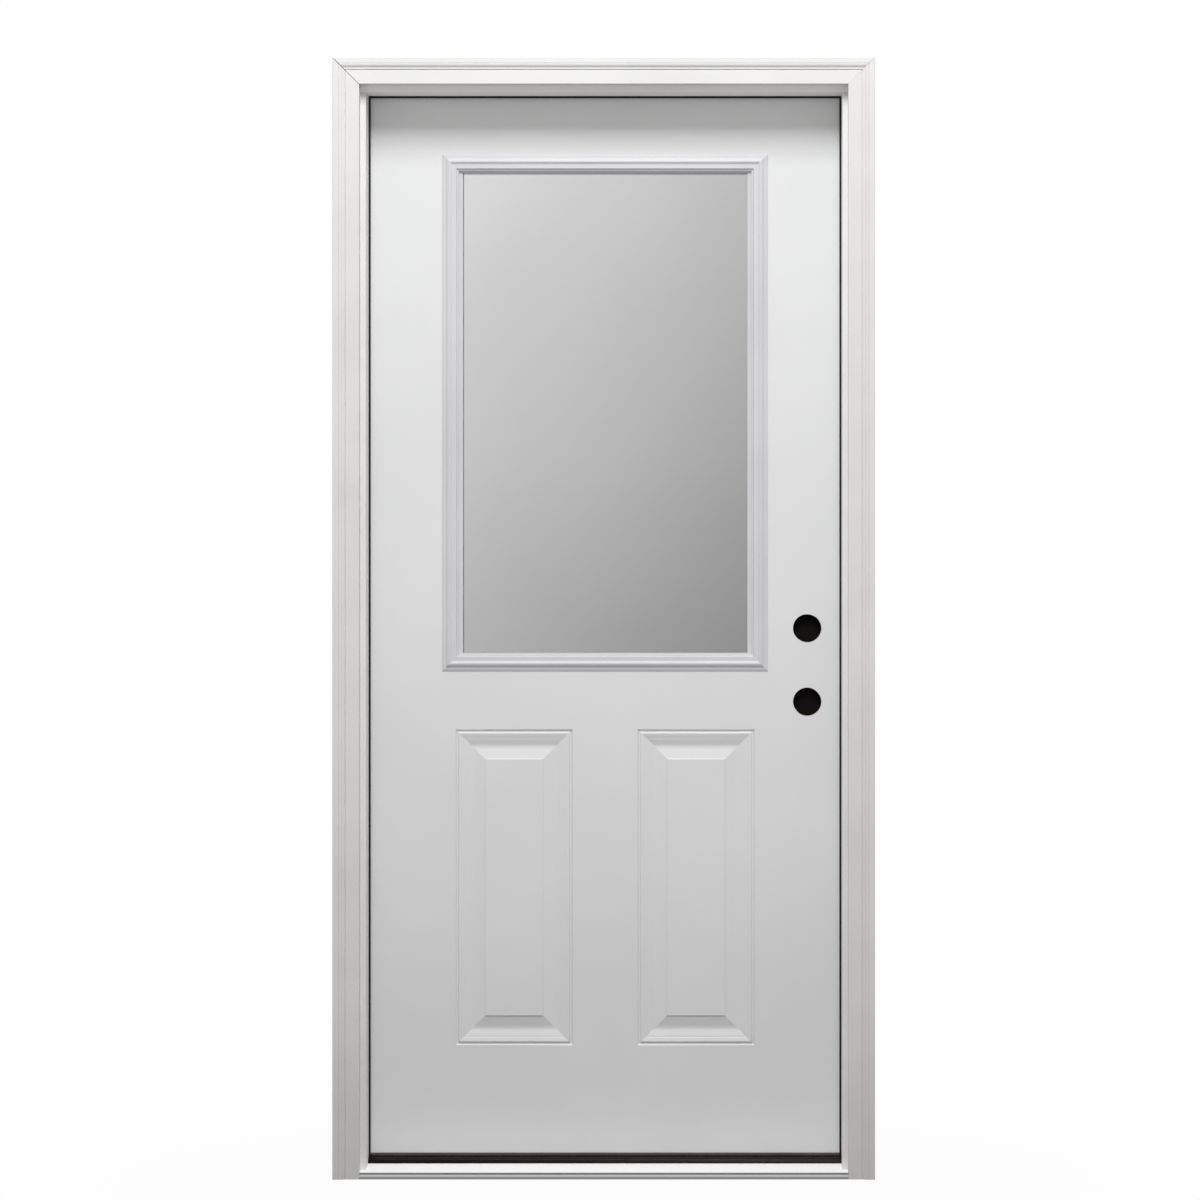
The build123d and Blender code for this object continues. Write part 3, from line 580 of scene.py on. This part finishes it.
# Jambs and sill keep their CAD shape with their edges just broken; the leaf's core and panes keep it whole
easedCopy("hinge_jamb", "jambLeft", 0.7, primedJamb)
easedCopy("strike_jamb", "jambRight", 0.7, primedJamb)
easedCopy("head_jamb", "jambHead", 0.7, primedLintelPaintedLight)
easedCopy("sill_deck", "sillDeck", 0.3, millAluminium)
easedCopy("sill_cap", "sillCap", 0.6, bronzeComposite)
for node, material in (("sill_core", woodComposite), ("hinge_stile", pineUpright),
                       ("lock_stile", pineUpright), ("lock_block", pineUpright),
                       ("top_rail", pineAcross), ("bottom_rail", pineAcross), ("foam_core", foamFill),
                       ("glass_exterior", floatGlass), ("glass_interior", floatGlass)):
    dressNode(node, material)
print("jambs, sill and leaf core dressed")

# Weatherstrip: a soft bulb that peeks past each stop, on a fin pressed into the jamb's kerf
seal = {"bulb": 10.0, "nose": 2.0, "finThick": 1.7, "peek": 1.5, "tuck": 4.5}
stripLeft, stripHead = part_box("weatherstrip_left"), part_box("weatherstrip_head")
stripHalf = -stripLeft[1].x - seal["peek"] * mm
stripSoffit = stripHead[0].z - seal["peek"] * mm
front, back = stripLeft[0].y / mm, stripLeft[1].y / mm
reach = (stripLeft[1].x - stripLeft[0].x) / mm + seal["peek"]
sealProfile = [(0, front + 0.1, seal["nose"]), (0, back, seal["nose"]), (seal["bulb"], back, 1.8),
               (seal["bulb"] + 0.6, front + seal["finThick"], 0.8), (reach, front + seal["finThick"], 0.4),
               (reach, front, 0.4), (seal["bulb"], front, 0.5), (seal["tuck"], front, 1.0)]
section = easedLine(sealProfile, 6)
for name, node, side in (("stripLeft", "weatherstrip_left", -1), ("stripRight", "weatherstrip_right", 1)):
    mesh = stickMesh(name, squareEnd(section, side, stripHalf, stripLeft[0].z),
                     mitredEnd(section, side, stripHalf, stripSoffit))
    makePiece(name, mesh, bronzeFilm, "frame", (node,), sharpest=40)
mesh = stickMesh("stripHead", *[mitredEnd(section, side, stripHalf, stripSoffit) for side in (-1, 1)])
makePiece("stripHead", mesh, bronzeFilm, "frame", ("weatherstrip_head",), sharpest=40)

# Sweep: a base strip under the leaf with three soft fins that lean a little into the house
sweep = {"base": 2.5, "fin": 1.6, "lean": 1.2, "lastLean": 0.2, "inset": 0.4, "spare": 2, "fins": 3}
low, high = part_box("door_sweep")
y0, y1, z0, z1 = low.y / mm, high.y / mm, low.z / mm, high.z / mm
pitch = (y1 - y0 - sweep["fin"] - sweep["spare"]) / (sweep["fins"] - 1)
outline = [(y0, z1, 0.2), (y0, z1 - sweep["base"], 0.3)]
for index in range(sweep["fins"]):
    near = y0 + sweep["inset"] + index * pitch
    lean = sweep["lean" if index < sweep["fins"] - 1 else "lastLean"]
    outline += [(near, z1 - sweep["base"], 0.5), (near + lean, z0, 0.6),
                (near + lean + sweep["fin"], z0, 0.6), (near + sweep["fin"], z1 - sweep["base"], 0.5)]
outline += [(y1, z1 - sweep["base"], 0.3), (y1, z1, 0.2)]
section = easedLine(outline, 4)
ends = [[(x, y * mm, z * mm) for y, z in section] for x in (low.x, high.x)]
mesh = stickMesh("sweepStrip", *ends)
makePiece("sweepStrip", mesh, brownElastomer, "door", ("door_sweep",), sharpest=40)
print("seals made")

# A black foam plug closes each lock bore until a lockset is fitted
plug = {"radius": 26.6, "thickness": 12.0, "round": 1.2, "sides": 96}
plugHalf = plug["thickness"] / 2
plugShape = easedLine([(0, -plugHalf, 0), (plug["radius"], -plugHalf, plug["round"]),
                       (plug["radius"], plugHalf, plug["round"]), (0, plugHalf, 0)])
middleY = (outside[0].y + inside[1].y) / 2 / mm
for index, (bx, bz) in enumerate(leaf["bores"]):
    rows = []
    for turn in (2 * math.pi * s / plug["sides"] for s in range(plug["sides"] + 1)):
        rows.append([((bx + r * math.cos(turn)) * mm, (middleY + y) * mm, (bz + r * math.sin(turn)) * mm)
                     for r, y in plugShape])
    built = bmesh.new()
    loftRows(built, rows, False)
    mesh = meshFrom(built, f"borePlug{index}", limits["weld"])
    makePiece(f"borePlug{index}", mesh, blackFoam, "door")
print("bore plugs made")

# Hinges keep their CAD shape under satin nickel
for place in ("top", "middle", "bottom"):
    for part in ("frame_leaf", "door_leaf", "pin"):
        dressNode(f"hinge_{place}_{part}", satinNickel)

# Flat-head screws with a cross recess, four to each hinge leaf, in and out by turns
screw = {"radius": 4.4, "proud": 0.3, "sunk": 0.1, "rim": 0.35, "recessFloor": 0.03, "slot": 2.5,
         "slotWidth": 0.75, "sides": 32, "up": (-39.0, -14.0, 14.0, 39.0), "in": (9.0, 18.0), "flatReach": 10}


def screwHeads(name, node, facing, body):
    low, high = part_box(node)
    # the flat of the leaf, clear of its barrel
    flatEnd = low.y + screw["flatReach"] * mm
    faceX = max(v.co.x * facing for v in nodes[node].data.vertices if v.co.y < flatEnd) * facing
    built = bmesh.new()
    slot, thin = screw["slot"], screw["slotWidth"]
    cross = [(thin, slot), (thin, thin), (slot, thin), (slot, -thin), (thin, -thin), (thin, -slot),
             (-thin, -slot), (-thin, -thin), (-slot, -thin), (-slot, thin), (-thin, thin), (-thin, slot)]
    for index, up in enumerate(screw["up"]):
        middleY, middleZ = low.y / mm + screw["in"][index % 2], (low.z + high.z) / 2 / mm + up

        def ring(points, proud):
            return [built.verts.new((faceX + facing * proud * mm, (middleY + y) * mm, (middleZ + z) * mm))
                    for y, z in points]

        turns = [2 * math.pi * s / screw["sides"] for s in range(screw["sides"])]
        radius, proud = screw["radius"], screw["proud"]
        rows = [ring([(r * math.cos(a), r * math.sin(a)) for a in turns], height) for r, height in
                ((radius, -screw["sunk"]), (radius, 0.3 * proud), (radius - screw["rim"], proud))]
        rows += [ring(cross, proud), ring(cross, screw["recessFloor"])]
        for near, far in ((rows[0], rows[1]), (rows[1], rows[2]), (rows[3], rows[4])):
            for i in range(len(near)):
                j = (i + 1) % len(near)
                built.faces.new((near[i], near[j], far[j], far[i]))
        built.faces.new(rows[4])
        rims = [built.edges.get((row[i], row[(i + 1) % len(row)])) for row in (rows[2], rows[3])
                for i in range(len(row))]
        bmesh.ops.triangle_fill(built, edges=rims, use_beauty=True)
    makePiece(name, meshFrom(built, name), satinNickel, body)


for place in ("top", "middle", "bottom"):
    screwHeads(f"frameScrews_{place}", f"hinge_{place}_frame_leaf", 1, "frame")
    screwHeads(f"doorScrews_{place}", f"hinge_{place}_door_leaf", -1, "door")
print("hinges dressed")

# Floor and light: a plain white studio with one large soft light high in front
studio = {"floorNear": "#484848", "floorFar": "#D8D8D8", "floorHalf": 30.0, "floorDrop": 0.0005,
          "bounce": (0.8, 2.2), "shadow": (0.3, 1.6), "shadowWhite": 0.97, "air": "#FFFDFB", "ambient": 0.575,
          "keyPower": 168.0, "keyPlace": (0.12, -2.9, 5.0), "keyAim": (0.0, 0.0, 1.3), "keySize": (0.9, 1.5)}
plainWhite = (1, 1, 1, 1)


def backdrop(name, corners):
    # a sheet of the studio, and the nodes of its paper
    mesh = bpy.data.meshes.new(name)
    mesh.from_pydata(corners, [], [(0, 1, 2, 3)])
    paper = bpy.data.materials.new(name)
    paper.use_nodes = True
    mesh.materials.append(paper)
    sheet = bpy.data.objects.new(name, mesh)
    bpy.context.collection.objects.link(sheet)
    return sheet, paper.node_tree


def seenDirect(tree):
    # 1 on what the camera sees, straight or through the glass
    path = addNode(tree, "LightPath")
    return addNode(tree, "Math", {"operation": "MAXIMUM"}, i0=path.outputs["Is Camera Ray"],
                   i1=path.outputs["Is Transmission Ray"]).outputs[0]


half = studio["floorHalf"]
floor, tree = backdrop("floor", [(-half, -half, 0), (half, -half, 0), (half, half, 0), (-half, half, 0)])
floor.location.z = -studio["floorDrop"]
shader = tree.nodes["Principled BSDF"]
shader.inputs["Roughness"].default_value = 0.9
# the floor takes the door's shadow, turns to plain white further off, and throws light up from there only
where = addNode(tree, "TexCoord").outputs["Object"]
away = addNode(tree, "VectorMath", {"operation": "LENGTH"}, i0=where).outputs["Value"]
low, high = studio["bounce"]
bounce = addNode(tree, "MapRange", Value=away, From_Min=low, From_Max=high)
ramp = addNode(tree, "ValToRGB", Fac=bounce.outputs["Result"])
ramp.color_ramp.elements[0].color = linear(studio["floorNear"])
ramp.color_ramp.elements[1].color = linear(studio["floorFar"])
tree.links.new(ramp.outputs["Color"], shader.inputs["Base Color"])
low, high = studio["shadow"]
fade = addNode(tree, "MapRange", {"interpolation_type": "SMOOTHSTEP"}, Value=away, From_Min=low,
               From_Max=high, To_Min=studio["shadowWhite"])
share = addNode(tree, "Math", {"operation": "MULTIPLY"}, i0=seenDirect(tree), i1=fade.outputs["Result"])
white = addNode(tree, "Emission", Color=plainWhite, Strength=1.0)
mixed = addNode(tree, "MixShader", i0=share.outputs[0], i1=shader.outputs[0], i2=white.outputs[0])
tree.links.new(mixed.outputs[0], tree.nodes["Material Output"].inputs["Surface"])

# A card seen only through the glass, glowing with painted light that is brighter up and to the left; it is no
# lamp
wall = {"left": -0.4, "right": 0.4, "low": 0.9, "high": 2.0, "depth": 0.6, "level": 0.475,
        "across": -0.345, "up": 0.41, "halfWidth": 1, "foot": 0.4, "top": 2.6}
half, foot, top = wall["halfWidth"], wall["foot"], wall["top"]
paintedGlowCard, tree = backdrop("paintedGlowCard", [(-half, 0, foot), (half, 0, foot), (half, 0, top), (-half, 0, top)])
paintedGlowCard.location.y = wall["depth"]
place = addNode(tree, "SeparateXYZ", Vector=addNode(tree, "TexCoord").outputs["Object"])
across = addNode(tree, "MapRange", Value=place.outputs["X"], From_Min=wall["left"], From_Max=wall["right"],
                 To_Min=wall["level"], To_Max=wall["level"] + wall["across"])
up = addNode(tree, "MapRange", Value=place.outputs["Z"], From_Min=wall["low"], From_Max=wall["high"],
             To_Max=wall["up"])
shade = addNode(tree, "Math", {"operation": "ADD"}, i0=across.outputs["Result"], i1=up.outputs["Result"])
glow = addNode(tree, "Emission", Color=plainWhite, Strength=shade.outputs[0])
behindGlass = addNode(tree, "MixShader", i0=addNode(tree, "LightPath").outputs["Is Transmission Ray"],
                      i1=addNode(tree, "BsdfTransparent").outputs[0], i2=glow.outputs[0])
tree.links.new(behindGlass.outputs[0], tree.nodes["Material Output"].inputs["Surface"])

# The air is plain white to the eye, and a dimmer, slightly warm light to everything else
world = bpy.data.worlds.new("studio")
bpy.context.scene.world = world
world.use_nodes = True
tree = world.node_tree
seen = seenDirect(tree)
level = addNode(tree, "MapRange", Value=seen, To_Min=studio["ambient"], To_Max=1.0)
tree.links.new(level.outputs["Result"], tree.nodes["Background"].inputs["Strength"])
air = addNode(tree, "Mix", {"data_type": "RGBA"}, i0=seen, i6=linear(studio["air"]), i7=plainWhite)
tree.links.new(air.outputs[2], tree.nodes["Background"].inputs["Color"])

lamp = bpy.data.lights.new("keyLight", "AREA")
lamp.shape = "RECTANGLE"
lamp.size, lamp.size_y = studio["keySize"]
lamp.energy = studio["keyPower"]
key = bpy.data.objects.new("keyLight", lamp)
key.location = studio["keyPlace"]
aim = Vector(studio["keyAim"]) - Vector(studio["keyPlace"])
key.rotation_euler = aim.to_track_quat("-Z", "Y").to_euler()
bpy.context.collection.objects.link(key)
print("studio made")
